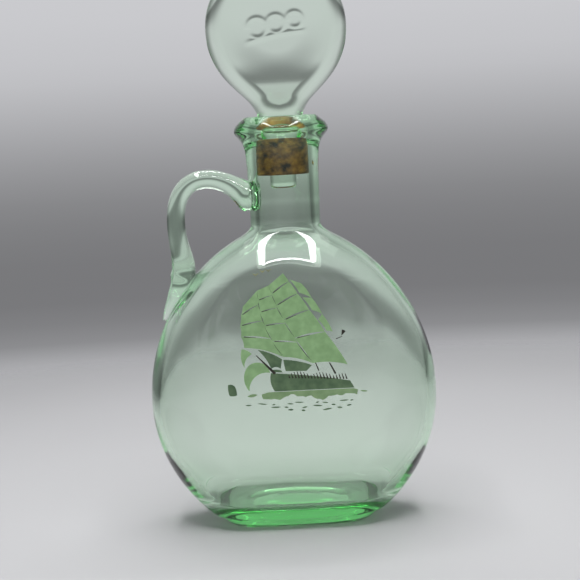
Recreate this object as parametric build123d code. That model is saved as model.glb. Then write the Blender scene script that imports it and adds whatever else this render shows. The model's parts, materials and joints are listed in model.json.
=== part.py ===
from build123d import *
import math
import os

# A flat-sided glass decanter with a loop handle, a lollipop stopper in a cork sleeve,
# and an enamel picture of a clipper fired onto its front face.
# Millimetres. +Z is up, the origin is the middle of the base, and -Y is the pictured face.

# ---- Driving dimensions ----
TOTAL_HEIGHT = 258.0

# Flask body: seen from the front it is two arcs that share the belly line
BELLY_HALF_WIDTH = 66.0
BELLY_Z = 57.3
LOWER_ARC_RADIUS = 66.0
UPPER_ARC_RADIUS = 84.0
FACE_HALF_DEPTH = 30.0
FACE_CROWN = 0.7
HEEL_RADIUS = 12.0
SHOULDER_START_Z = 97.0
SHOULDER_END_Z = 135.0
SHOULDER_CORE = 8.0
FACE_POWER = 4.0
EDGE_POWER = 2.1

# Walls
FLOOR_Z = 8.5
EDGE_WALL = 4.4
FACE_WALL = 3.1
INNER_HEEL_RADIUS = 10.0
INNER_SHOULDER_END_Z = 131.5
INNER_SHOULDER_CORE = 5.0

# Neck and lip
NECK_RADIUS = 16.6
NECK_BLEND = 14.0
NECK_FOOT_Z = 141.5
SHOULDER_TOP_Z = 134.0
FLARE_Z = 168.0
LIP_RADIUS = 21.1
LIP_Z = 180.5
RIM_Z = 186.0
BORE_RADIUS = 12.0
BORE_TOP_Z = 178.0
MOUTH_RADIUS = 14.8

# Cork sleeve and glass stopper
RUNNING_CLEARANCE = 0.05
CORK_BOTTOM_Z = 159.5
CORK_TOP_Z = 178.0
STEM_RADIUS = 6.0
STEM_TIP_Z = 153.4
STEM_SEAT_GAP = 0.25
WAIST_RADIUS = 10.4
WAIST_Z = 187.3
DISC_RADIUS = 32.0
DISC_HALF_THICKNESS = 7.0
DISC_DISH = 0.8
DISC_Z = TOTAL_HEIGHT - DISC_RADIUS

# Loop handle
ROD_RADIUS = 4.5
HANDLE_TOP_Z = 158.6
HANDLE_OUT_X = -49.4
HANDLE_JOINT_Z = 150.0

# Fired enamel picture on the front face
PRINT_THICKNESS = 0.2
PRINT_RAISE = 4.9


def smooth(t):
    """0 to 1 with level ends."""
    t = min(max(t, 0.0), 1.0)
    return t * t * (3.0 - 2.0 * t)


# ---- Flask body ----
def outer_half_width(z):
    """Half-width of the front outline: lower arc, upper arc."""
    if z < BELLY_Z:
        return math.sqrt(LOWER_ARC_RADIUS**2 - (BELLY_Z - z) ** 2)
    centre = BELLY_HALF_WIDTH - UPPER_ARC_RADIUS
    return centre + math.sqrt(UPPER_ARC_RADIUS**2 - (z - BELLY_Z) ** 2)


def shoulder(z, wall, core, end_z):
    """Half-depth above the flat of the face: level at first, then rounding over to the neck."""
    rise = max(z - SHOULDER_START_Z, 0.0) / (end_z - SHOULDER_START_Z)
    return core + (wall - core) * (1.0 - rise**5) ** (1 / 2.2)


def outer_half_depth(z):
    """Half-depth of the side outline: heel arc, crowned face, shoulder."""
    crown = FACE_HALF_DEPTH + FACE_CROWN
    if z < HEEL_RADIUS:
        return crown - HEEL_RADIUS + math.sqrt(HEEL_RADIUS**2 - (HEEL_RADIUS - z) ** 2)
    return shoulder(z, crown, SHOULDER_CORE, SHOULDER_END_Z)


def inner_half_width(z):
    """Half-width of the cavity: the outline's arcs moved in by the edge wall."""
    if z < BELLY_Z:
        return math.sqrt((LOWER_ARC_RADIUS - EDGE_WALL) ** 2 - (BELLY_Z - z) ** 2)
    centre = BELLY_HALF_WIDTH - UPPER_ARC_RADIUS
    return centre + math.sqrt((UPPER_ARC_RADIUS - EDGE_WALL) ** 2 - (z - BELLY_Z) ** 2)


def inner_half_depth(z):
    """Half-depth of the cavity: inner heel, flat wall, inner shoulder."""
    wall = FACE_HALF_DEPTH - FACE_WALL
    heel_top = FLOOR_Z + INNER_HEEL_RADIUS
    if z < heel_top:
        return wall - INNER_HEEL_RADIUS + math.sqrt(INNER_HEEL_RADIUS**2 - (heel_top - z) ** 2)
    return shoulder(z, wall, INNER_SHOULDER_CORE, INNER_SHOULDER_END_Z)


def section_powers(z):
    """Exponents of a level section: flat across the faces, round at the edges, an ellipse at the neck."""
    to_neck = smooth((SHOULDER_TOP_Z - z) / 45.0)
    return 2.0 + (FACE_POWER - 2.0) * to_neck, 2.0 + (EDGE_POWER - 2.0) * to_neck


def outline_reach(c, s, half_width, half_depth, powers):
    """Distance from the axis to the outline |x/w|^p + |y/d|^q = 1 in the direction (c, s)."""
    low = 0.0
    high = 2.0 * (half_width + half_depth)
    for _ in range(60):
        reach = (low + high) / 2.0
        level = abs(reach * c / half_width) ** powers[0] + abs(reach * s / half_depth) ** powers[1]
        if level < 1.0:
            low = reach
        else:
            high = reach
    return low


def level_section(z, half_width, half_depth, powers=(2.0, 2.0), points=56):
    """A closed outline at height z, as a face."""
    outline = []
    for i in range(points):
        angle = 2.0 * math.pi * i / points
        c = math.cos(angle)
        s = math.sin(angle)
        reach = outline_reach(c, s, half_width, half_depth, powers)
        outline.append((reach * c, reach * s, z))
    return Face(Wire([Spline(*outline, periodic=True).edge()]))


def body_blank():
    """The solid outside of the body, ground flat on both faces."""
    heights = [0.0, 1.5, 4.0, 8.0, 12.0, 20.0, 32.0, 45.0, 57.3, 72.0, 86.0, 98.0, 107.0, 115.0]
    heights += [119.5, 123.5, 127.0, 130.0, 132.3, 134.4]
    sections = []
    for z in heights:
        sections.append(level_section(z, outer_half_width(z), outer_half_depth(z), section_powers(z)))
    flat = Box(2 * TOTAL_HEIGHT, 2 * FACE_HALF_DEPTH, 2 * TOTAL_HEIGHT)
    return loft(sections) & flat


def body_cavity():
    """The hollow inside the body, up to the bore."""
    heights = [FLOOR_Z, 9.3, 11.0, 14.0, 18.5, 27.0, 38.0, 50.0, 64.0, 80.0, 95.0, 106.0, 115.0]
    heights += [119.0, 122.5, 125.5, 128.0]
    sections = []
    for z in heights:
        sections.append(level_section(z, inner_half_width(z), inner_half_depth(z), section_powers(z)))
    throat = BORE_RADIUS - 0.7
    sections.append(level_section(131.0, 14.0, 14.0))
    sections.append(level_section(SHOULDER_TOP_Z, throat, throat))
    return loft(sections)


def neck_blank():
    """Neck with its hollow sweep onto the shoulder, flared lip and rounded rim, turned about the axis."""
    sweep_out = NECK_BLEND * (1 - math.cos(math.radians(40)))
    sweep_down = NECK_BLEND * math.sin(math.radians(40))
    sweep_end = (NECK_RADIUS + sweep_out, NECK_FOOT_Z - sweep_down)
    root_drop = 5.5
    root = (sweep_end[0] + root_drop / math.tan(math.radians(50)), sweep_end[1] - root_drop)
    flare_end = (LIP_RADIUS - 0.7, LIP_Z - 3.2)
    band_top = (LIP_RADIUS - 0.9, LIP_Z + 3.4)
    rim_edge = (LIP_RADIUS - 4.1, RIM_Z)
    profile = [
        Line((0, root[1]), root),
        Line(root, sweep_end),
        TangentArc((NECK_RADIUS, NECK_FOOT_Z), sweep_end, tangent=(0, -1)),
        Line((NECK_RADIUS, NECK_FOOT_Z), (NECK_RADIUS, FLARE_Z)),
        ThreePointArc((NECK_RADIUS, FLARE_Z), (NECK_RADIUS + 1.25, FLARE_Z + 5.1), flare_end),
        ThreePointArc(flare_end, (LIP_RADIUS, LIP_Z), band_top),
        ThreePointArc(band_top, (LIP_RADIUS - 2.1, RIM_Z - 0.6), rim_edge),
        Line(rim_edge, (0, RIM_Z)),
        Line((0, RIM_Z), (0, root[1])),
    ]
    return revolve(Plane.XZ * make_face(profile), Axis.Z)


def mouth_funnel():
    """The space above the bore, opening to the mouth."""
    above = RIM_Z + 1.0
    profile = [
        Line((0, BORE_TOP_Z), (BORE_RADIUS, BORE_TOP_Z)),
        ThreePointArc((BORE_RADIUS, BORE_TOP_Z), (BORE_RADIUS + 0.9, RIM_Z - 4.6), (MOUTH_RADIUS, RIM_Z)),
        Line((MOUTH_RADIUS, RIM_Z), (MOUTH_RADIUS, above)),
        Line((MOUTH_RADIUS, above), (0, above)),
        Line((0, above), (0, BORE_TOP_Z)),
    ]
    return revolve(Plane.XZ * make_face(profile), Axis.Z)


def decanter_blank():
    """The outside of body, neck and lip as one solid."""
    return body_blank() + neck_blank()


def bottle(blank):
    """The hollow glass, with its bore from the cavity to the mouth."""
    bore_start = SHOULDER_TOP_Z - 6.0
    bore_length = BORE_TOP_Z - bore_start
    bore = Pos(0, 0, bore_start + bore_length / 2) * Cylinder(BORE_RADIUS, bore_length)
    return blank - body_cavity() - bore - mouth_funnel()


# ---- Loop handle ----
def handle(blank):
    """Glass rod drawn from the neck to the shoulder, with its flared joint, foot and tail."""
    route = [
        (-14.0, 0, HANDLE_JOINT_Z - 2.0),
        (-27.0, 0, HANDLE_TOP_Z),
        (-42.0, 0, HANDLE_TOP_Z),
        (HANDLE_OUT_X - 0.8, 0, 145.0),
        (HANDLE_OUT_X, 0, 124.0),
        (-46.0, 0, 108.0),
    ]
    path = FilletPolyline(*route, radius=[12.0, 9.0, 16.0, 30.0])
    start = Plane(origin=path @ 0, z_dir=path % 0)
    rod = sweep(start * Circle(ROD_RADIUS), path=path)
    joint = Pos(-18.0, 0, HANDLE_JOINT_Z + 0.3) * Rot(0, 24, 0) * scale(Sphere(1.0), by=(5.2, 6.2, 7.8))
    foot = Pos(-49.0, 0, 109.0) * Rot(0, 36, 0) * scale(Sphere(1.0), by=(6.0, 7.4, 11.5))
    tail_route = Plane(origin=(-51.0, 0, 107.5), z_dir=(-10.6, 0, -22.5))
    tail = loft(
        [
            tail_route * Circle(5.6),
            tail_route.offset(7.0) * Circle(3.9),
            tail_route.offset(13.0) * Circle(1.4),
        ]
    )
    return (rod + joint + foot + tail) - blank


# ---- Stopper ----
def cork_sleeve():
    """Cork ring that grips the stem and seals the bore."""
    length = CORK_TOP_Z - CORK_BOTTOM_Z
    middle = Pos(0, 0, CORK_BOTTOM_Z + length / 2)
    ring = middle * Cylinder(BORE_RADIUS - RUNNING_CLEARANCE, length)
    hole = middle * Cylinder(STEM_RADIUS + RUNNING_CLEARANCE, length + 2)
    ring -= hole
    lower_edge = [e for e in ring.edges() if e.center().Z < CORK_BOTTOM_Z + 1 and e.length > 50]
    return chamfer(lower_edge, 0.6)


def stem():
    """Stem from its rounded tip, through the cork, flaring above the mouth to meet the disc."""
    tip_z = STEM_TIP_Z
    inside_z = CORK_TOP_Z + 5
    profile = [
        Line((0, tip_z), (STEM_RADIUS - 2, tip_z)),
        TangentArc((STEM_RADIUS - 2, tip_z), (STEM_RADIUS, tip_z + 2), tangent=(1, 0)),
        Line((STEM_RADIUS, tip_z + 2), (STEM_RADIUS, inside_z)),
        Line((STEM_RADIUS, inside_z), (0, inside_z)),
        Line((0, inside_z), (0, tip_z)),
    ]
    plug = revolve(Plane.XZ * make_face(profile), Axis.Z)
    seat_z = CORK_TOP_Z + STEM_SEAT_GAP
    steps = [(seat_z, 8.7, 8.7), (183.0, 9.5, 9.5), (WAIST_Z, WAIST_RADIUS, WAIST_RADIUS)]
    steps += [(190.5, 12.0, 10.6), (193.7, 14.4, 10.2), (197.0, 18.0, 9.2)]
    steps += [(200.6, 22.0, 8.0), (204.6, 25.0, 7.0), (209.0, 27.0, 6.0)]
    flare = loft([level_section(z, wide, deep) for z, wide, deep in steps])
    return plug + flare


def disc():
    """Round head with a thick rounded edge and shallow dished faces, turned about its own axis."""
    dish_edge = DISC_RADIUS * 0.62
    bead = DISC_RADIUS - DISC_HALF_THICKNESS
    face_y = DISC_HALF_THICKNESS - DISC_DISH
    top = DISC_HALF_THICKNESS
    outline = [
        Line((0, -face_y), (dish_edge, -face_y)),
        Spline((dish_edge, -face_y), (bead, -top), tangents=((1, 0), (1, 0))),
        ThreePointArc((bead, -top), (DISC_RADIUS, 0), (bead, top)),
        Spline((bead, top), (dish_edge, face_y), tangents=((-1, 0), (-1, 0))),
        Line((dish_edge, face_y), (0, face_y)),
        Line((0, face_y), (0, -face_y)),
    ]
    return Pos(0, 0, DISC_Z) * revolve(make_face(outline), Axis.Y)


def wave_relief():
    """A running-wave flourish raised on the front of the disc: three curling crests on a swell."""
    level = DISC_HALF_THICKNESS - DISC_DISH
    rise = 0.7
    crests = []
    for i in range(3):
        x = -9.5 + 8.5 * i
        size = 5.2 - 0.5 * i
        outer = CenterArc((x, 0.8 * i), size, 20, 200)
        inner = CenterArc((x + 0.7, 0.8 * i - 0.3), size - 1.3, 20, 200)
        caps = [Line(outer @ 0, inner @ 0), Line(outer @ 1, inner @ 1)]
        crests.append(make_face([outer, inner] + caps))
    swell_top = SagittaArc((-15, -5.5), (13, -2.5), -2.2)
    swell_low = SagittaArc((-15, -5.5), (13, -2.5), -3.4)
    crests.append(make_face([swell_top, swell_low]))
    ground = Plane(origin=(0, -level + 0.3, DISC_Z), x_dir=(1, 0, 0), z_dir=(0, -1, 0))
    relief = extrude(ground * crests[0], rise)
    for crest in crests[1:]:
        relief += extrude(ground * crest, rise)
    return relief


def glass_stopper():
    return stem() + disc() + wave_relief()


# ---- Enamel picture ----
# Every shape is drawn flat, as (x from the middle of the face, height above the base less PRINT_RAISE)
def film(faces, over=()):
    """Flat shapes fired onto the front face, as thin solids, each cut back from the darker shapes over it."""
    ground = Plane(origin=(0, -FACE_HALF_DEPTH, PRINT_RAISE), x_dir=(1, 0, 0), z_dir=(0, -1, 0))
    solids = []
    for face in faces:
        shape = Sketch() + face
        for dark in over:
            shape -= dark
        patches = extrude(ground * shape, PRINT_THICKNESS).solids()
        solids.append(max(patches, key=lambda patch: patch.volume))
    return Compound(children=solids)


def arcs_face(*sides):
    """A closed face of sides, each (start, bulge); a side ends where the next one starts."""
    edges = []
    for (start, bulge), (end, _) in zip(sides, sides[1:] + sides[:1]):
        if abs(bulge) < 1e-6:
            edges.append(Line(start, end))
        else:
            edges.append(SagittaArc(start, end, bulge))
    return make_face(edges)


def lens(x, z, length, height, tilt=0.0):
    """A leaf shape: two arcs that meet in points."""
    dx = 0.5 * length * math.cos(math.radians(tilt))
    dz = 0.5 * length * math.sin(math.radians(tilt))
    return arcs_face(((x - dx, z - dz), height / 2), ((x + dx, z + dz), height / 2))


def stroke(start, end, wide, narrow):
    """A straight tapering line."""
    dx = end[0] - start[0]
    dz = end[1] - start[1]
    length = math.hypot(dx, dz)
    nx = -dz / length
    nz = dx / length
    corners = [
        (start[0] + nx * wide / 2, start[1] + nz * wide / 2),
        (end[0] + nx * narrow / 2, end[1] + nz * narrow / 2),
        (end[0] - nx * narrow / 2, end[1] - nz * narrow / 2),
        (start[0] - nx * wide / 2, start[1] - nz * wide / 2),
    ]
    return make_face(Polyline(*corners, close=True))


# Leech lines between the columns of sails, each a bend from masthead to foot
LEECHES = [
    ((-20.8, 98.0), (-24.0, 88.0), (-21.2, 79.6)),
    ((-14.0, 104.9), (-14.6, 89.0), (-4.0, 74.6)),
    ((-8.9, 106.9), (-5.2, 91.0), (8.8, 71.2)),
    ((-2.3, 112.0), (7.6, 97.0), (24.6, 69.8)),
    ((4.6, 108.6), (12.8, 96.5), (19.4, 83.0)),
]


def on_leech(index, t):
    """A point on a leech line, t from 0 at the masthead to 1 at the foot."""
    head, bend, foot = LEECHES[index]
    a = (1 - t) ** 2
    b = 2 * t * (1 - t)
    c = t**2
    return (a * head[0] + b * bend[0] + c * foot[0], a * head[1] + b * bend[1] + c * foot[1])


def across(column, t, u):
    """A point in a column of sails, u from 0 at its left leech to 1 at its right one."""
    left = on_leech(column, t)
    right = on_leech(column + 1, t)
    return (left[0] + u * (right[0] - left[0]), left[1] + u * (right[1] - left[1]))


def sail(column, top, bottom, left=0.005, right=0.997):
    """One bellied square sail between two yards."""
    belly = 0.10 * (bottom - top) * 36
    foot_rise = 0.055 * math.dist(across(column, bottom, left), across(column, bottom, right))
    return arcs_face(
        (across(column, top, left), 0.02 * foot_rise),
        (across(column, top, right), 0.35 * belly),
        (across(column, bottom, right), -foot_rise),
        (across(column, bottom, left), -0.30 * belly),
    )


def sail_column(column, rows, gap=0.0015):
    """The sails of one mast, from royal to course, each deeper than the one above."""
    faces = []
    for top, bottom in rows:
        faces.append(sail(column, top + gap, bottom - gap))
    return faces


def leech_shadow(column, top, bottom):
    """A dark sickle along the left edge of a sail."""
    start = across(column, top + 0.02, 0.0)
    end = across(column, bottom - 0.01, 0.035)
    belly = 0.10 * (bottom - top) * 36
    return arcs_face((start, -0.12 * belly), (end, 0.36 * belly))


FORE_ROWS = [(0.0, 0.20), (0.20, 0.44), (0.44, 0.71), (0.71, 1.0)]
MAIN_ROWS = [(0.0, 0.14), (0.14, 0.31), (0.31, 0.51), (0.51, 0.75), (0.75, 1.0)]
MIZZEN_ROWS = [(0.0, 0.12), (0.12, 0.28), (0.28, 0.47), (0.47, 0.70), (0.70, 1.0)]
STUDDING_ROWS = [(0.06, 0.33), (0.33, 0.62), (0.62, 0.93)]


def foremast_sails():
    dark = shadow_faces(1, MAIN_ROWS) + yard_faces(0, FORE_ROWS)
    return film(sail_column(0, FORE_ROWS), over=dark + sail_column(1, MAIN_ROWS))


def mainmast_sails():
    dark = shadow_faces(1, MAIN_ROWS) + shadow_faces(2, MIZZEN_ROWS) + yard_faces(1, MAIN_ROWS)
    return film(sail_column(1, MAIN_ROWS), over=dark + sail_column(2, MIZZEN_ROWS))


def mizzenmast_sails():
    return film(sail_column(2, MIZZEN_ROWS), over=shadow_faces(2, MIZZEN_ROWS) + yard_faces(2, MIZZEN_ROWS))


def studding_sails():
    """Narrow outer sails; their column is squeezed between the mizzen leech and its own."""
    faces = []
    for top, bottom in STUDDING_ROWS:
        inner_top = on_leech(3, 0.86 * top + 0.05)
        inner_bottom = on_leech(3, 0.70 * bottom + 0.05)
        outer_top = on_leech(4, top)
        outer_bottom = on_leech(4, bottom)
        faces.append(
            arcs_face(
                ((inner_top[0] + 0.7, inner_top[1] + 0.2), 0.0),
                (outer_top, 0.35),
                (outer_bottom, -0.2),
                ((inner_bottom[0] + 0.7, inner_bottom[1] + 0.4), -0.3),
            )
        )
    return film(faces)


def shadow_faces(column, rows):
    return [leech_shadow(column, top, bottom) for top, bottom in rows]


def sail_shadows():
    """Dark lines between the masts' sails, where one column stands in front of the next."""
    return film(shadow_faces(1, MAIN_ROWS) + shadow_faces(2, MIZZEN_ROWS))


def yard_faces(column, rows):
    faces = []
    for top, _ in rows[1:]:
        faces.append(stroke(across(column, top, 0.10), across(column, top, 0.50), 0.38, 0.14))
    return faces


def yards():
    """Short dark spars showing at the seams between sails."""
    return film(yard_faces(0, FORE_ROWS) + yard_faces(1, MAIN_ROWS) + yard_faces(2, MIZZEN_ROWS))


def staysails():
    """Three-cornered sails set between the foremast and the hull."""
    inner = arcs_face(((-15.2, 78.4), 0.6), ((-4.6, 73.6), 0.0), ((-5.4, 69.4), -0.8), ((-9.6, 69.6), -0.6))
    low = arcs_face(((-4.0, 73.4), 0.5), ((8.6, 70.4), 0.0), ((6.0, 67.9), 0.0), ((-3.2, 68.2), 0.1))
    deck = arcs_face(((-9.2, 69.0), 0.3), ((-5.2, 68.6), 0.0), ((-4.6, 67.7), 0.0), ((-9.4, 68.1), 0.0))
    return film([inner, low, deck], over=rail_faces() + [bowsprit_face()])


def jibs():
    """Two crescent headsails ahead of the bow."""
    flying = arcs_face(((-22.3, 79.0), 0.5), ((-17.9, 76.6), -1.1), ((-21.4, 70.6), 0.9))
    jib = arcs_face(((-10.2, 67.8), -4.0), ((-21.0, 69.6), -1.5), ((-19.7, 59.9), 3.1))
    return film([flying, jib], over=[bowsprit_face()])


def bowsprit_face():
    return stroke((-8.0, 67.3), (-16.0, 75.9), 1.25, 0.35)


def bowsprit():
    return film([bowsprit_face()])


def hull():
    """Hull from raked stem to transom, low in the water."""
    side = arcs_face(((-9.8, 67.6), 0.55), ((25.2, 62.6), 0.0), ((27.0, 59.3), 0.0), ((-8.4, 59.3), 1.0))
    return film([side], over=rail_faces() + [bowsprit_face()])


def rail_faces():
    count = 19
    faces = []
    for i in range(count):
        t = i / (count - 1)
        x = -1.6 + 25.4 * t
        foot_z = 64.9 - 1.6 * t
        height = 1.5 + 1.9 * abs(math.sin(2.7 * i)) * (1.0 - 0.45 * t)
        faces.append(stroke((x, foot_z + 0.1), (x - 0.28 * height, foot_z + 0.1 + height), 0.75, 0.25))
    return faces


def bulwark_rails():
    """Rails, shrouds and deck fittings hatched along the sheer."""
    return film(rail_faces())


def lower_masts():
    """Mast feet showing between the courses and the deck."""
    fore = stroke((11.5, 67.7), (10.2, 71.4), 0.55, 0.45)
    main = stroke((18.9, 66.0), (16.4, 71.1), 0.85, 0.5)
    return film([fore, main])


def pennant():
    """Gaff end with its small flag."""
    gaff = stroke((19.8, 81.6), (22.6, 82.6), 0.35, 0.25)
    flag = arcs_face(((22.2, 83.0), 0.0), ((22.6, 85.6), 0.15), ((24.2, 84.8), 0.1))
    return film([gaff, flag])


def sea():
    """Light water along the hull: a band with a ragged lower edge, and two broken patches."""
    count = 34
    left = -14.5
    right = 28.5
    edge = [(left, 58.2), (left + 3.0, 59.05), (right - 2.0, 59.05), (right, 58.4)]
    for i in range(count):
        t = i / (count - 1)
        ragged = 1.1 * math.sin(11.0 * t + 0.6) + 0.6 * math.sin(29.0 * t) + 0.35 * math.sin(67.0 * t)
        edge.append((right - 0.5 - t * (right - left - 1.0), 56.2 + ragged * math.sin(math.pi * t) ** 0.5))
    band = make_face(Polyline(*edge, close=True))
    return film([band, lens(-18.6, 57.9, 4.6, 1.3, 8), lens(31.2, 57.6, 3.4, 0.7, -6)])


def wave_crests():
    """Small darker strokes on the near water, thinning out towards the viewer."""
    faces = []
    rows = ((53.6, 9, -20.5, 5.9), (51.9, 6, -9.5, 6.7), (50.4, 4, -3.0, 8.1))
    for row, (z, count, start, pitch) in enumerate(rows):
        for i in range(count):
            x = start + pitch * i + 1.3 * math.sin(2.9 * i + row)
            length = 3.0 + 1.6 * math.sin(2.1 * i + 1.7 * row)
            bob = 0.35 * math.sin(1.9 * i + row)
            tilt = 9 * math.sin(4.0 * i)
            faces.append(lens(x, z + bob, length, 0.55 + 0.1 * row, tilt))
    return film(faces)


def buoy():
    """A leaning can buoy off the bow."""
    corners = (((-29.2, 63.2), 0.5), ((-26.2, 62.4), 0.25), ((-25.4, 58.4), 0.3), ((-28.7, 58.3), 0.3))
    return film([arcs_face(*corners)])


def gulls():
    """Gilt sea birds above the masts, each two curved wings."""
    faces = []
    for x, z, span in ((-14.4, 111.4, 3.0), (-11.3, 112.7, 2.6), (-8.7, 113.0, 2.8)):
        for side in (-1, 1):
            tip = (x + side * span / 2, z + 0.9)
            body = (x + side * 0.06, z - 0.2)
            if side < 0:
                faces.append(arcs_face((tip, 0.62), (body, -0.22)))
            else:
                faces.append(arcs_face((body, 0.62), (tip, -0.22)))
    return film(faces)


# ---- Write the pieces ----
def main():
    os.makedirs("parts", exist_ok=True)
    blank = decanter_blank()
    pieces = {
        "bottle": bottle(blank),
        "handle": handle(blank),
        "cork_sleeve": cork_sleeve(),
        "glass_stopper": glass_stopper(),
        "print_foremast_sails": foremast_sails(),
        "print_mainmast_sails": mainmast_sails(),
        "print_mizzenmast_sails": mizzenmast_sails(),
        "print_studding_sails": studding_sails(),
        "print_staysails": staysails(),
        "print_jibs": jibs(),
        "print_sail_shadows": sail_shadows(),
        "print_yards": yards(),
        "print_bowsprit": bowsprit(),
        "print_hull": hull(),
        "print_bulwark_rails": bulwark_rails(),
        "print_lower_masts": lower_masts(),
        "print_pennant": pennant(),
        "print_sea": sea(),
        "print_wave_crests": wave_crests(),
        "print_buoy": buoy(),
        "print_gulls": gulls(),
    }
    for name, shape in pieces.items():
        export_step(shape, f"parts/{name}.step")


main()
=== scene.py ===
"""A pale green glass decanter with a fired clipper picture, a loop handle and a cork-sleeved stopper."""

import json
import math

import bpy
import numpy as np
from mathutils import Matrix, Vector


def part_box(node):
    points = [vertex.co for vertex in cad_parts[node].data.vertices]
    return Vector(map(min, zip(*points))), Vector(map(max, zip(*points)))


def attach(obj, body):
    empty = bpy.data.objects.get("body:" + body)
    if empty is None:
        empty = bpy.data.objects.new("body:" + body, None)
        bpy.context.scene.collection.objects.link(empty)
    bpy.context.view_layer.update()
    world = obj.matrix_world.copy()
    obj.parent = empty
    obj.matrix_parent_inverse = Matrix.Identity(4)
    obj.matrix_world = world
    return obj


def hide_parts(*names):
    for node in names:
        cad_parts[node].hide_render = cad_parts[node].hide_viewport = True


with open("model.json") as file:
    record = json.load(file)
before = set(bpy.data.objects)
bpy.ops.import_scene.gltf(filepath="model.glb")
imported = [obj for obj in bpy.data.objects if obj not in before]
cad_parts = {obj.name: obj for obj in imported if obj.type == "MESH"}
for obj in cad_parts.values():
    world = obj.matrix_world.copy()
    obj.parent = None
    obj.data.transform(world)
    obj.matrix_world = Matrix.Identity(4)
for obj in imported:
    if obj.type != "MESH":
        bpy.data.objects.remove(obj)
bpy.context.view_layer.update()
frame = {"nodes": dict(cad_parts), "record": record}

MM = 0.001

# ---- Sizes shared with the frame, in millimetres ----
_, bottle_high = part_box("bottle")
stopper_low, stopper_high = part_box("glass_stopper")
cork_low, cork_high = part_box("cork_sleeve")
BELLY_W = bottle_high.x / MM
FACE_D = bottle_high.y / MM
RIM_Z = bottle_high.z / MM
STOPPER_TIP_Z = stopper_low.z / MM
STOPPER_TOP_Z = stopper_high.z / MM
CORK_R = cork_high.x / MM
CORK_LOW_Z = cork_low.z / MM
CORK_TOP_Z = cork_high.z / MM

# ---- Flask sizes, in millimetres ----
BELLY_Z = 57.3  # height of the widest point
UPPER_R = 84.0  # front outline above it
HEEL_R = 12.0  # round from the faces to the base
BASE_EDGE_R = 5.0  # round from the edges to the base
SHOULDER_START_Z = 111.0
SHOULDER_R = 24.0
SHOULDER_TOP_Z = 134.0
SECTION_CHANGE = 45.0  # height over which flat faces turn into the round neck
NECK_R = 16.1
NECK_FROM_Z = 116.0
NECK_BLEND = 6.0
BORE_R = CORK_R + 0.05
FLOOR_Z = 8.5
FLOOR_RISE = 1.6
BASE_KICK = 1.2
WALL = 3.2
HEEL_EXTRA_WALL = 1.6

# ---- Mesh density ----
AROUND = 256
OUTLINE_STEPS = 2881


# ---- Mesh helpers ----
def smooth(t):
    """Eased step from 0 to 1."""
    t = np.clip(t, 0.0, 1.0)
    return t * t * (3.0 - 2.0 * t)


def bspline(points, per_span=8):
    """A smooth curve near its control points, clamped at both ends."""
    pts = np.array(points, float)
    pts = np.vstack([2 * pts[0] - pts[1], pts, 2 * pts[-1] - pts[-2]])
    out = []
    for i in range(len(pts) - 3):
        a, b, c, d = pts[i : i + 4]
        for k in range(per_span):
            t = k / per_span
            weight_b = 3 * t**3 - 6 * t**2 + 4
            weight_c = -3 * t**3 + 3 * t**2 + 3 * t + 1
            out.append(((1 - t) ** 3 * a + weight_b * b + weight_c * c + t**3 * d) / 6)
    a, b, c = pts[-3:]
    out.append((a + 4 * b + c) / 6)
    return np.array(out)


def add_object(name, verts, faces):
    mesh = bpy.data.meshes.new(name)
    mesh.from_pydata(verts.tolist() if hasattr(verts, "tolist") else verts, [], faces)
    mesh.validate()
    mesh.polygons.foreach_set("use_smooth", [True] * len(mesh.polygons))
    mesh.update()
    obj = bpy.data.objects.new(name, mesh)
    bpy.context.scene.collection.objects.link(obj)
    return obj


def tube_object(name, rings, scale=MM):
    """A closed skin from rings of equal point count; each end is drawn in to a pole."""
    rings = [np.asarray(r, float) for r in rings]
    count = len(rings[0])
    verts = [rings[0].mean(axis=0)]
    for ring in rings:
        verts.extend(ring)
    verts.append(rings[-1].mean(axis=0))
    verts = np.array(verts) * scale
    faces = []
    last = len(verts) - 1
    for j in range(count):
        k = (j + 1) % count
        faces.append((0, 1 + k, 1 + j))
        faces.append((last, last - count + j, last - count + k))
    for i in range(len(rings) - 1):
        a = 1 + i * count
        b = a + count
        for j in range(count):
            k = (j + 1) % count
            faces.append((a + j, a + k, b + k, b + j))
    return add_object(name, verts, faces)


def waves(points, seed, wavelengths, height):
    """Sum of plane waves in fixed pseudo-random directions: the slow unevenness of hand-worked glass."""
    rng = np.random.default_rng(seed)
    total = np.zeros(len(points))
    for wavelength in wavelengths:
        for _ in range(3):
            direction = rng.normal(size=3)
            direction /= np.linalg.norm(direction)
            phase = rng.uniform(0, 2 * math.pi)
            total += np.sin(points @ direction * (2 * math.pi / wavelength) + phase)
    return height * total / (3 * len(wavelengths)) ** 0.5


# ---- Flask outline ----
def soft_max(a, b, reach):
    """The larger of two values, with a hollow blend where they cross."""
    h = max(reach - abs(a - b), 0.0) / reach
    return max(a, b) + h * h * reach * 0.25


def side_arc(z):
    """Half-width of the front outline: lower arc, upper arc."""
    if z < BELLY_Z:
        return math.sqrt(BELLY_W**2 - (BELLY_Z - z) ** 2)
    return BELLY_W - UPPER_R + math.sqrt(max(UPPER_R**2 - (z - BELLY_Z) ** 2, 0.0))


def outer_width(z):
    width = side_arc(z)
    if z < BASE_EDGE_R:
        edge_x = math.sqrt((BELLY_W - BASE_EDGE_R) ** 2 - (BELLY_Z - BASE_EDGE_R) ** 2)
        width = min(width, edge_x + math.sqrt(BASE_EDGE_R**2 - (BASE_EDGE_R - z) ** 2))
    return width if z < NECK_FROM_Z else soft_max(width, NECK_R, NECK_BLEND)


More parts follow.
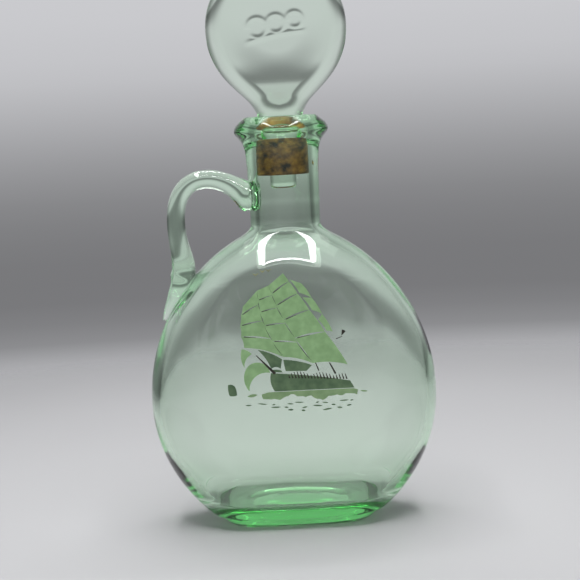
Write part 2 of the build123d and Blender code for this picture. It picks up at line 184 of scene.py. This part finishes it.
def outer_depth(z):
    """Half-depth of the side outline: heel arc, flat face, shoulder arc."""
    if z < HEEL_R:
        return FACE_D - HEEL_R + math.sqrt(HEEL_R**2 - (HEEL_R - z) ** 2)
    rise = max(z - SHOULDER_START_Z, 0.0)
    depth = FACE_D - SHOULDER_R + math.sqrt(max(SHOULDER_R**2 - rise**2, 0.0))
    return depth if z < NECK_FROM_Z else soft_max(depth, NECK_R, NECK_BLEND)


def section(z, half_w, half_d, count=AROUND):
    """A ring at height z, flat across the faces and round at the edges, evenly spaced along its outline."""
    flatness = float(smooth((SHOULDER_TOP_Z - z) / SECTION_CHANGE))
    angle = np.linspace(0, 2 * math.pi, OUTLINE_STEPS)
    c = np.cos(angle)
    s = np.sin(angle)
    x = half_w * np.sign(c) * np.abs(c) ** (2.0 / (2.0 + 3.0 * flatness))
    y = half_d * np.sign(s) * np.abs(s) ** (2.0 / (2.0 + 0.1 * flatness))
    run = np.concatenate([[0], np.cumsum(np.hypot(np.diff(x), np.diff(y)))])
    at = np.linspace(0, run[-1], count, endpoint=False)
    return np.stack([np.interp(at, run, x), np.interp(at, run, y), np.full(count, z)], axis=1)


def circle(radius, z, count=AROUND):
    """A level ring of points."""
    angle = np.linspace(0, 2 * math.pi, count, endpoint=False)
    return np.stack([radius * np.cos(angle), radius * np.sin(angle), np.full(count, z)], axis=1)


def heights(low, high, step):
    """Heights from low to high, as near to the given step as divides evenly."""
    return np.linspace(low, high, max(2, int(round((high - low) / step)) + 1))


def wall_at(z):
    """Glass thickness up the flask: heavy at the base, thin in the body, thick again at the neck."""
    at_heel = float(smooth((34.0 - z) / 26.0))
    at_neck = float(smooth((z - NECK_FROM_Z) / 24.0))
    return WALL + HEEL_EXTRA_WALL * at_heel + (NECK_R - BORE_R - WALL) * at_neck


def moved_in(rings):
    """Rings moved into the glass along the surface normal by the wall thickness."""
    grid = np.array(rings)
    along = np.roll(grid, -1, axis=1) - np.roll(grid, 1, axis=1)
    up = np.gradient(grid, axis=0)
    normal = np.cross(along, up)
    normal /= np.linalg.norm(normal, axis=2, keepdims=True)
    walls = np.array([wall_at(ring[0, 2]) for ring in grid])
    return grid - normal * walls[:, None, None]


def bottle_rings():
    """The whole skin: under the base, up the outside, over the lip, down the bore and across the floor."""
    rings = []
    base_w = outer_width(0.0)
    base_d = outer_depth(0.0)
    for s in np.linspace(0.04, 0.98, 26):
        kick = BASE_KICK * float(smooth((0.86 - s) / 0.5))
        rings.append(section(kick, s * base_w, s * base_d))
    for a in np.linspace(0, math.pi / 2, 26)[:-1]:
        z = HEEL_R * (1 - math.cos(a))
        rings.append(section(z, outer_width(z), outer_depth(z)))
    # Rings stand wider apart up the body than round the turn of the shoulder into the neck
    turn_low = 112.0
    turn_high = 144.0
    levels = [*heights(HEEL_R, turn_low, 1.6), *heights(turn_low + 0.5, turn_high, 0.5)]
    body = [section(z, outer_width(z), outer_depth(z)) for z in levels]
    rings.extend(body)
    # Up the neck, out over the flared lip and down into the bore: radius, height
    lip = [
        (NECK_R, 146.0), (NECK_R + 0.1, 152.0), (NECK_R + 0.2, 158.0), (NECK_R + 0.4, 164.0),
        (NECK_R + 0.6, 169.0), (NECK_R + 1.1, 172.6), (NECK_R + 2.6, 175.6), (NECK_R + 4.7, 177.7),
        (NECK_R + 5.5, 179.4), (NECK_R + 5.3, 181.2), (NECK_R + 4.1, 182.9), (NECK_R + 2.2, 184.4),
        (NECK_R + 0.6, 185.7), (15.4, 186.5), (14.3, 186.2), (13.5, 184.9), (13.0, 183.0), (12.6, 181.0),
        (BORE_R + 0.2, 178.6), (BORE_R, 175.0), (BORE_R, 166.0), (BORE_R, 158.0), (BORE_R, 148.0),
    ]
    for radius, z in bspline(lip, 7):
        rings.append(circle(radius, min(z, RIM_Z)))
    outer_count = len(rings)
    # The first few inner rings would crowd the end of the bore, so they are left out
    crowded = 6
    inner = moved_in(body)[::-1]
    rings.extend(inner[crowded:])
    edge = inner[-1]
    for a in np.linspace(0, math.pi / 2, 24)[1:]:
        ring = edge.copy()
        shrink = 1 - math.cos(a)
        ring[:, 0] *= 1 - 0.22 * shrink
        ring[:, 1] *= 1 - 0.30 * shrink
        ring[:, 2] = FLOOR_Z + (edge[:, 2] - FLOOR_Z) * (1 - math.sin(a))
        rings.append(ring)
    floor = rings[-1]
    for s in np.linspace(0.96, 0.04, 26):
        ring = floor * s
        ring[:, 2] = FLOOR_Z + FLOOR_RISE * float(smooth((0.9 - s) / 0.8))
        rings.append(ring)
    return rings, outer_count


def make_bottle():
    """The flask: inside slowly uneven, outside less so, and true where the picture lies."""
    rings, outer_count = bottle_rings()
    uneven = []
    for i, ring in enumerate(rings):
        centre_z = ring[:, 2].mean()
        inside = i >= outer_count
        if inside:
            pull = waves(ring, 7, (26.0, 44.0, 70.0), 0.16) + waves(ring, 8, (13.0, 18.0), 0.02)
            pull *= float(smooth((146.0 - centre_z) / 20.0))
        else:
            pull = waves(ring, 3, (34.0, 60.0), 0.05) + 0.08
            pull *= float(smooth((centre_z - 2.0) / 10.0)) * float(smooth((176.0 - centre_z) / 14.0))
            on_face = smooth((38.0 - np.abs(ring[:, 0])) / 12.0) * smooth((np.abs(ring[:, 1]) - 27.0) / 2.0)
            pull *= 1.0 - on_face
        steer = ring.copy()
        steer[:, 2] = 0
        steer /= np.maximum(np.linalg.norm(steer, axis=1, keepdims=True), 1e-6)
        uneven.append(ring - steer * pull[:, None])
    return tube_object("bottle_glass", uneven)


# ---- Handle ----
def frames_along(path):
    """Tangent, in-plane normal and side axis at each point of a path in the XZ plane."""
    tangent = np.gradient(path, axis=0)
    tangent /= np.linalg.norm(tangent, axis=1, keepdims=True)
    side = np.tile(np.array([0.0, 1.0, 0.0]), (len(path), 1))
    normal = np.cross(side, tangent)
    return tangent, normal, side


def make_handle():
    """Rod drawn hot from the neck, looped, pressed onto the shoulder and pulled down into a short tail."""
    stations = [
        # x, z, half-thickness in the plane of the loop, half-width across it
        (-15.6, 150.0, 7.2, 6.4),
        (-17.0, 150.6, 7.0, 6.2),
        (-19.4, 152.4, 5.7, 5.4),
        (-23.2, 155.2, 4.7, 4.8),
        (-28.4, 157.8, 4.3, 4.5),
        (-34.6, 159.2, 4.2, 4.4),
        (-41.0, 158.4, 4.2, 4.4),
        (-46.4, 154.6, 4.2, 4.4),
        (-49.6, 148.0, 4.2, 4.5),
        (-50.4, 140.0, 4.2, 4.6),
        (-49.8, 132.0, 4.3, 4.7),
        (-48.4, 125.0, 4.7, 5.0),
        (-47.6, 119.0, 5.6, 5.8),
        (-48.4, 113.4, 5.8, 7.0),
        (-51.0, 108.2, 4.2, 6.4),
        (-54.0, 103.0, 2.9, 4.6),
        (-56.4, 98.6, 1.9, 2.9),
        (-57.9, 95.2, 1.0, 1.3),
    ]
    dense = bspline(stations, 10)
    path = np.stack([dense[:, 0], np.zeros(len(dense)), dense[:, 1]], axis=1)
    _, normal, side = frames_along(path)
    angle = np.linspace(0, 2 * math.pi, 96, endpoint=False)
    foot_z = 112.0
    rings = []
    for i, point in enumerate(path):
        above_foot = point[2] - foot_z
        pressed = math.exp(-((above_foot / 8.0) ** 2)) if point[0] < -46 else 0.0
        ripple = 1.0 + 0.05 * pressed * math.sin(2 * math.pi * above_foot / 9.0)
        thick = dense[i, 2] * ripple
        wide = dense[i, 3] * (2.0 - ripple)
        in_plane = np.outer(np.cos(angle) * thick, normal[i])
        across = np.outer(np.sin(angle) * wide, side[i])
        rings.append(point + in_plane + across)
    # The joint follows the round of the neck, sunk a little into its glass
    sunk = 0.7
    joint = []
    for s in (0.2, 0.4, 0.6, 0.8, 0.93, 1.0):
        ring = path[0] + (rings[0] - path[0]) * s
        ring[:, 0] = -np.sqrt((NECK_R - sunk) ** 2 - ring[:, 1] ** 2)
        joint.append(ring)
    tail = []
    for s in np.linspace(0.85, 0.15, 5):
        tail.append(path[-1] + (rings[-1] - path[-1]) * s)
    rings = joint + rings[2:] + tail
    return tube_object("handle_glass", rings)


# ---- Stopper ----
STOPPER_DISC_R = 32.0
STOPPER_DISC_Z = STOPPER_TOP_Z - STOPPER_DISC_R
STEM_R = 6.0
STEM_EDGE_R = 2.0
SEAT_Z = CORK_TOP_Z + 0.25
ROUND_FLARE = 6.0  # height above the seat over which the flare is still round
FACE_DISH = 0.35
RELIEF = 0.42

HEAD_OUTLINE = [
    # height, half-width, half-depth
    (SEAT_Z, 8.6, 8.6), (181.0, 9.2, 9.2), (184.0, 9.7, 9.7), (187.0, 10.3, 10.3), (189.3, 11.5, 10.4),
    (191.4, 12.8, 10.0), (193.6, 14.6, 9.4), (195.8, 16.9, 8.7), (198.2, 19.4, 8.1), (201.2, 22.3, 7.6),
    (204.4, 25.0, 7.2), (208.0, 27.4, 7.0), (211.8, 29.2, 7.0), (216.0, 30.8, 7.0), (220.6, 31.7, 7.0),
    (226.0, 32.0, 7.0),
]
OUTLINE_CURVE = bspline(HEAD_OUTLINE, 12)


def head_sizes(z):
    """Half-width and half-depth of the flare and the lower half of the head at height z."""
    heights_at = OUTLINE_CURVE[:, 0]
    return np.interp(z, heights_at, OUTLINE_CURVE[:, 1]), np.interp(z, heights_at, OUTLINE_CURVE[:, 2])


def flourish(x, z):
    """Height of the raised running-wave motif on the head, in millimetres."""
    height = np.zeros_like(x)
    for i in range(3):
        cx = -9.0 + 8.6 * i
        cz = -0.6 + 1.5 * i
        size = 4.9 - 0.5 * i
        dx = x - cx
        dz = z - cz
        rho = np.hypot(dx, dz)
        turn = np.arctan2(dz, dx)
        curl = size * (0.62 + 0.38 * np.cos(0.5 * (turn - 0.4)))
        line = np.exp(-(((rho - curl) / 1.0) ** 2)) * smooth((turn + 2.6) / 1.2)
        height = np.maximum(height, line)
    swell = -6.6 + 0.16 * (x + 12) + 1.1 * np.sin((x + 14) / 9.0)
    ends = smooth((15.0 - np.abs(x)) / 6.0)
    height = np.maximum(height, np.exp(-(((z - swell) / 1.1) ** 2)) * ends)
    return RELIEF * height


def stem_rings():
    """Round rings: the tip with its rounded edge, the stem, and the foot of the flare."""
    flat_r = STEM_R - STEM_EDGE_R
    rings = []
    for s in np.linspace(0.1, 0.95, 8):
        rings.append(circle(flat_r * s, STOPPER_TIP_Z))
    for a in np.linspace(0.1, 1.5, 7):
        z = STOPPER_TIP_Z + STEM_EDGE_R * (1 - math.cos(a))
        rings.append(circle(flat_r + STEM_EDGE_R * math.sin(a), z))
    for z in heights(STOPPER_TIP_Z + 2.4, SEAT_Z - 0.6, 1.0):
        rings.append(circle(STEM_R, z))
    for z in heights(SEAT_Z, SEAT_Z + ROUND_FLARE, 0.35):
        wide, _ = head_sizes(z)
        rings.append(circle(float(wide), z))
    return rings


def head_ring(z, count=AROUND):
    """Level ring of the flare or head: full thickness inside, rounded off towards the outline."""
    angle = np.linspace(0, 2 * math.pi, count, endpoint=False)
    rise = z - STOPPER_DISC_Z
    wide, deep = (float(v) for v in head_sizes(z))
    slope = float(head_sizes(z + 0.5)[0] - head_sizes(z - 0.5)[0])
    in_head = float(smooth((z - 208.0) / 12.0))
    if rise > 0:
        wide = math.sqrt(max(STOPPER_DISC_R**2 - rise**2, 0.0))
    x = wide * np.cos(angle)
    lean = 1.0 / math.sqrt(1.0 + slope**2)
    inset = (wide - np.abs(x)) * lean
    head_inset = STOPPER_DISC_R - np.hypot(x, rise)
    inset = inset + (head_inset - inset) * in_head
    rho = np.hypot(x, rise)
    above_flare = float(smooth((z - 196.0) / 16.0))
    deep = deep - FACE_DISH * (1.0 - smooth((rho - 11.0) / 13.0)) * above_flare
    near = 1.0 - np.clip(inset / deep, 0.0, 1.0)
    thick = deep * np.sqrt(np.maximum(1.0 - near**2, 0.0))
    y = np.sign(np.sin(angle)) * thick
    y = np.where(np.abs(np.sin(angle)) < 1e-9, 0.0, y)
    y = np.where(y < -1.0, y - flourish(x, rise), y)
    return np.stack([x, y, np.full(count, z)], axis=1)


def make_stopper():
    """Stem, flare and head as one stack of level rings."""
    rings = stem_rings()
    for z in heights(SEAT_Z + ROUND_FLARE + 0.3, STOPPER_DISC_Z, 0.4):
        rings.append(head_ring(z))
    for a in np.linspace(0, math.pi / 2, 100)[1:-1]:
        rings.append(head_ring(STOPPER_DISC_Z + STOPPER_DISC_R * math.sin(a)))
    return tube_object("stopper_glass", rings)


# ---- Cork ----
def make_cork():
    """Ring of cork, its skin pitted and its edges slightly crumbled."""
    count = 192
    hole = STEM_R + 0.05
    edge = 0.9
    flat_r = CORK_R - edge
    rings = []
    for s in np.linspace(0.0, 1.0, 10):
        rings.append(circle(hole + (flat_r - hole) * s, CORK_LOW_Z, count))
    for a in np.linspace(0.2, math.pi / 2, 5):
        rings.append(circle(flat_r + edge * math.sin(a), CORK_LOW_Z + edge * (1 - math.cos(a)), count))
    for z in heights(CORK_LOW_Z + 1.1, CORK_TOP_Z - 0.5, 0.22):
        rings.append(circle(CORK_R, z, count))
    for s in np.linspace(1.0, 0.0, 10):
        rings.append(circle(hole + (CORK_R - 0.35 - hole) * s, CORK_TOP_Z, count))
    for z in heights(CORK_TOP_Z - 1.0, CORK_LOW_Z + 1.0, 1.2):
        rings.append(circle(hole, z, count))
    worn = []
    for ring in rings:
        radius = np.hypot(ring[:, 0], ring[:, 1])
        skin = smooth((radius - hole - 0.5) / 1.0)
        pits = waves(ring, 21, (1.3, 2.1, 3.1), 1.0)
        depth = 0.42 * smooth((pits - 1.25) / 0.9) + 0.05 * smooth(waves(ring, 22, (5.0, 9.0), 1.0) + 0.5)
        steer = ring.copy()
        steer[:, 2] = 0
        steer /= np.maximum(radius, 1e-6)[:, None]
        worn.append(ring - steer * (skin * depth)[:, None])
    verts = np.vstack(worn) * MM
    faces = []
    total = len(worn)
    for i in range(total):
        a = i * count
        b = ((i + 1) % total) * count
        for j in range(count):
            k = (j + 1) % count
            faces.append((a + j, a + k, b + k, b + j))
    return add_object("cork_ring", verts, faces)


# ---- Materials ----
def new_material(name):
    """An empty material with its nodes, links and main shader."""
    material = bpy.data.materials.new(name)
    material.use_nodes = True
    nodes = material.node_tree.nodes
    shader = nodes["Principled BSDF"]
    return material, nodes, material.node_tree.links, shader


def glass_material(name, tint, density):
    """Clear soda-lime glass, green in the thickness, with faint drawn streaks on the skin."""
    material, nodes, links, shader = new_material(name)
    shader.inputs["Base Color"].default_value = (1.0, 1.0, 1.0, 1.0)
    shader.inputs["Roughness"].default_value = 0.012
    shader.inputs["IOR"].default_value = 1.51
    shader.inputs["Transmission Weight"].default_value = 1.0
    place = nodes.new("ShaderNodeTexCoord")
    noise = nodes.new("ShaderNodeTexNoise")
    noise.inputs["Scale"].default_value = 95.0
    noise.inputs["Detail"].default_value = 3.0
    stretch = nodes.new("ShaderNodeMapping")
    stretch.inputs["Scale"].default_value = (1.0, 1.0, 0.35)
    bump = nodes.new("ShaderNodeBump")
    bump.inputs["Strength"].default_value = 0.05
    bump.inputs["Distance"].default_value = 0.0006
    links.new(place.outputs["Object"], stretch.inputs["Vector"])
    links.new(stretch.outputs["Vector"], noise.inputs["Vector"])
    links.new(noise.outputs["Fac"], bump.inputs["Height"])
    links.new(bump.outputs["Normal"], shader.inputs["Normal"])
    volume = nodes.new("ShaderNodeVolumeAbsorption")
    volume.inputs["Color"].default_value = (*tint, 1.0)
    volume.inputs["Density"].default_value = density
    links.new(volume.outputs["Volume"], nodes["Material Output"].inputs["Volume"])
    return material


def cork_material():
    """Natural cork: tan grain, darker growth streaks and near-black pores."""
    material, nodes, links, shader = new_material("cork")
    place = nodes.new("ShaderNodeTexCoord")
    cells = nodes.new("ShaderNodeTexVoronoi")
    cells.inputs["Scale"].default_value = 900.0
    grain = nodes.new("ShaderNodeTexNoise")
    grain.inputs["Scale"].default_value = 320.0
    grain.inputs["Detail"].default_value = 6.0
    patches = nodes.new("ShaderNodeTexNoise")
    patches.inputs["Scale"].default_value = 190.0
    patches.inputs["Detail"].default_value = 3.0
    for texture in (cells, grain, patches):
        links.new(place.outputs["Object"], texture.inputs["Vector"])
    tan = nodes.new("ShaderNodeValToRGB")
    tan.color_ramp.elements[0].position = 0.30
    tan.color_ramp.elements[0].color = (0.13, 0.045, 0.006, 1)
    tan.color_ramp.elements[1].position = 0.72
    tan.color_ramp.elements[1].color = (0.60, 0.27, 0.045, 1)
    links.new(grain.outputs["Fac"], tan.inputs["Fac"])
    pores = nodes.new("ShaderNodeValToRGB")
    pores.color_ramp.elements[0].position = 0.50
    pores.color_ramp.elements[0].color = (1, 1, 1, 1)
    pores.color_ramp.elements[1].position = 0.66
    pores.color_ramp.elements[1].color = (0.07, 0.03, 0.01, 1)
    links.new(patches.outputs["Fac"], pores.inputs["Fac"])
    mix = nodes.new("ShaderNodeMix")
    mix.data_type = "RGBA"
    mix.blend_type = "MULTIPLY"
    mix.inputs["Factor"].default_value = 1.0
    links.new(tan.outputs["Color"], mix.inputs["A"])
    links.new(pores.outputs["Color"], mix.inputs["B"])
    links.new(mix.outputs["Result"], shader.inputs["Base Color"])
    shader.inputs["Roughness"].default_value = 0.8
    bump = nodes.new("ShaderNodeBump")
    bump.inputs["Strength"].default_value = 0.5
    bump.inputs["Distance"].default_value = 0.0003
    links.new(cells.outputs["Distance"], bump.inputs["Height"])
    links.new(bump.outputs["Normal"], shader.inputs["Normal"])
    return material


def enamel_material(name, light, dark, roughness=0.42, metallic=0.0):
    """Fired enamel: slightly uneven coverage, fine screen grain, a soft gloss."""
    material, nodes, links, shader = new_material(name)
    place = nodes.new("ShaderNodeTexCoord")
    brush = nodes.new("ShaderNodeTexNoise")
    brush.inputs["Scale"].default_value = 260.0
    brush.inputs["Detail"].default_value = 5.0
    links.new(place.outputs["Object"], brush.inputs["Vector"])
    ramp = nodes.new("ShaderNodeValToRGB")
    ramp.color_ramp.elements[0].position = 0.34
    ramp.color_ramp.elements[0].color = (*dark, 1)
    ramp.color_ramp.elements[1].position = 0.66
    ramp.color_ramp.elements[1].color = (*light, 1)
    links.new(brush.outputs["Fac"], ramp.inputs["Fac"])
    links.new(ramp.outputs["Color"], shader.inputs["Base Color"])
    shader.inputs["Roughness"].default_value = roughness
    shader.inputs["Metallic"].default_value = metallic
    grain = nodes.new("ShaderNodeTexNoise")
    grain.inputs["Scale"].default_value = 2400.0
    links.new(place.outputs["Object"], grain.inputs["Vector"])
    bump = nodes.new("ShaderNodeBump")
    bump.inputs["Strength"].default_value = 0.25
    bump.inputs["Distance"].default_value = 0.00004
    links.new(grain.outputs["Fac"], bump.inputs["Height"])
    links.new(bump.outputs["Normal"], shader.inputs["Normal"])
    return material


# ---- Pieces ----
glass = glass_material("green_glass", (0.06, 0.85, 0.15), 32.0)
pale_glass = glass_material("pale_glass", (0.10, 0.92, 0.12), 11.0)
cork = cork_material()

bottle_glass = make_bottle()
bottle_glass.data.materials.append(glass)
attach(bottle_glass, "decanter")
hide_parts("bottle")

handle_glass = make_handle()
handle_glass.data.materials.append(glass)
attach(handle_glass, "decanter")
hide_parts("handle")

stopper_glass = make_stopper()
stopper_glass.data.materials.append(pale_glass)
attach(stopper_glass, "stopper")
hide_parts("glass_stopper")

cork_ring = make_cork()
cork_ring.data.materials.append(cork)
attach(cork_ring, "cork")
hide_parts("cork_sleeve")

ENAMELS = {
    "sail_enamel": enamel_material("sail_enamel", (0.300, 0.500, 0.235), (0.225, 0.390, 0.175)),
    "hull_enamel": enamel_material("hull_enamel", (0.120, 0.200, 0.100), (0.065, 0.125, 0.060)),
    "sea_enamel": enamel_material("sea_enamel", (0.255, 0.390, 0.195), (0.190, 0.310, 0.145)),
    "dark_enamel": enamel_material("dark_enamel", (0.030, 0.026, 0.014), (0.014, 0.012, 0.007)),
    "gilt_enamel": enamel_material("gilt_enamel", (0.42, 0.42, 0.20), (0.24, 0.25, 0.12), 0.4, 0.6),
}
for part in frame["record"]["subparts"]:
    enamel = ENAMELS.get(part["material_slot"])
    if enamel:
        mesh = frame["nodes"][part["node"]].data
        mesh.materials.clear()
        mesh.materials.append(enamel)


# ---- Studio ----
def pale_floor():
    """Round sheet of pale card that fades into the surroundings at its rim."""
    radius = 0.62
    count = 128
    angle = np.linspace(0, 2 * math.pi, count, endpoint=False)
    verts = [(radius * math.cos(a), radius * math.sin(a), 0.0) for a in angle]
    floor = add_object("floor", verts, [tuple(range(count))])
    floor.location.z = -0.0001
    material, nodes, links, shader = new_material("floor_card")
    shader.inputs["Base Color"].default_value = (0.50, 0.50, 0.51, 1)
    shader.inputs["Roughness"].default_value = 0.55
    place = nodes.new("ShaderNodeTexCoord")
    reach = nodes.new("ShaderNodeVectorMath")
    reach.operation = "LENGTH"
    fade = nodes.new("ShaderNodeMapRange")
    fade.interpolation_type = "SMOOTHERSTEP"
    fade.inputs["From Min"].default_value = 0.40
    fade.inputs["From Max"].default_value = radius
    clear = nodes.new("ShaderNodeBsdfTransparent")
    mix = nodes.new("ShaderNodeMixShader")
    links.new(place.outputs["Object"], reach.inputs[0])
    links.new(reach.outputs["Value"], fade.inputs["Value"])
    links.new(fade.outputs["Result"], mix.inputs["Fac"])
    links.new(shader.outputs["BSDF"], mix.inputs[1])
    links.new(clear.outputs["BSDF"], mix.inputs[2])
    links.new(mix.outputs["Shader"], nodes["Material Output"].inputs["Surface"])
    floor.data.materials.append(material)


def studio_world():
    """Surroundings by elevation: pale below, a dark band under the horizon, light above it, dim overhead."""
    world = bpy.data.worlds.new("studio")
    bpy.context.scene.world = world
    world.use_nodes = True
    nodes = world.node_tree.nodes
    links = world.node_tree.links
    place = nodes.new("ShaderNodeTexCoord")
    split = nodes.new("ShaderNodeSeparateXYZ")
    arcsine = nodes.new("ShaderNodeMath")
    arcsine.operation = "ARCSINE"
    span = nodes.new("ShaderNodeMapRange")
    span.inputs["From Min"].default_value = math.radians(-90)
    span.inputs["From Max"].default_value = math.radians(90)
    ramp = nodes.new("ShaderNodeValToRGB")
    # Elevation in degrees, brightness
    stops = [
        (-90.0, 0.50), (-9.6, 0.52), (-8.6, 0.44), (-7.6, 0.24), (-6.2, 0.190), (-4.9, 0.195),
        (-3.8, 0.212), (-2.7, 0.25), (-1.6, 0.31), (-0.5, 0.386), (0.6, 0.468), (1.7, 0.546),
        (3.8, 0.597), (9.0, 0.61), (18.0, 0.58), (28.0, 0.42), (50.0, 0.23), (90.0, 0.20),
    ]
    elements = ramp.color_ramp.elements
    while len(elements) < len(stops):
        elements.new(0.5)
    for element, (elevation, level) in zip(elements, stops):
        element.position = (elevation + 90.0) / 180.0
        element.color = (level * 0.985, level * 0.99, level * 1.03, 1)
    # The surroundings are dimmer off to both sides, which darkens the outline of the glass
    aside = nodes.new("ShaderNodeMath")
    aside.operation = "ABSOLUTE"
    dim = nodes.new("ShaderNodeMapRange")
    dim.interpolation_type = "SMOOTHSTEP"
    dim.inputs["From Min"].default_value = 0.40
    dim.inputs["From Max"].default_value = 0.80
    dim.inputs["To Min"].default_value = 1.0
    dim.inputs["To Max"].default_value = 0.45
    background = nodes["Background"]
    links.new(place.outputs["Generated"], split.inputs["Vector"])
    links.new(split.outputs["Z"], arcsine.inputs[0])
    links.new(arcsine.outputs["Value"], span.inputs["Value"])
    links.new(span.outputs["Result"], ramp.inputs["Fac"])
    links.new(ramp.outputs["Color"], background.inputs["Color"])
    links.new(split.outputs["X"], aside.inputs[0])
    links.new(aside.outputs["Value"], dim.inputs["Value"])
    links.new(dim.outputs["Result"], background.inputs["Strength"])


def area_light(name, place, aim, size, power):
    data = bpy.data.lights.new(name, "AREA")
    data.shape = "RECTANGLE"
    data.size, data.size_y = size
    data.energy = power
    lamp = bpy.data.objects.new(name, data)
    lamp.location = place
    lamp.rotation_euler = (Vector(aim) - Vector(place)).to_track_quat("-Z", "Y").to_euler()
    bpy.context.scene.collection.objects.link(lamp)


def strip_frame():
    """A rectangle of light strips overhead, as on the ceiling of a light tent."""
    height = 0.57
    half_x = 0.155
    near = -0.34
    far = 0.21
    thick = 0.045
    middle = (near + far) / 2
    across_power = 1.15
    along_power = 1.25
    for name, y in (("strip_front", near), ("strip_back", far)):
        area_light(name, (0, y, height), (0, y, 0), (2 * half_x, thick), across_power)
    for name, x in (("strip_left", -half_x), ("strip_right", half_x)):
        area_light(name, (x, middle, height), (x, middle, 0), (thick, far - near), along_power)


def camera():
    """A long view from the front at the height of the rim, looking slightly down and tilted."""
    data = bpy.data.cameras.new("camera")
    data.sensor_width = 36.0
    data.angle = math.radians(20.53)
    camera_object = bpy.data.objects.new("camera", data)
    offset_x = 0.0005
    distance = 0.734
    eye_z = 0.187
    pitch = math.radians(6.30)
    roll = math.radians(2.9)
    camera_object.matrix_world = (
        Matrix.Translation((offset_x, -distance, eye_z))
        @ Matrix.Rotation(math.pi / 2 - pitch, 4, "X")
        @ Matrix.Rotation(-roll, 4, "Z")
    )
    bpy.context.scene.collection.objects.link(camera_object)
    bpy.context.scene.camera = camera_object


pale_floor()
studio_world()
strip_frame()
area_light("soft_back", (0, 0.55, 0.9), (0, 0.45, 0), (0.9, 0.5), 1.0)
camera()

scene = bpy.context.scene
scene.view_settings.view_transform = "Standard"
scene.cycles.max_bounces = 32
scene.cycles.transmission_bounces = 28
scene.cycles.glossy_bounces = 12
scene.cycles.transparent_max_bounces = 16
scene.cycles.sample_clamp_indirect = 4.0
scene.cycles.blur_glossy = 0.5
scene.cycles.use_denoising = True
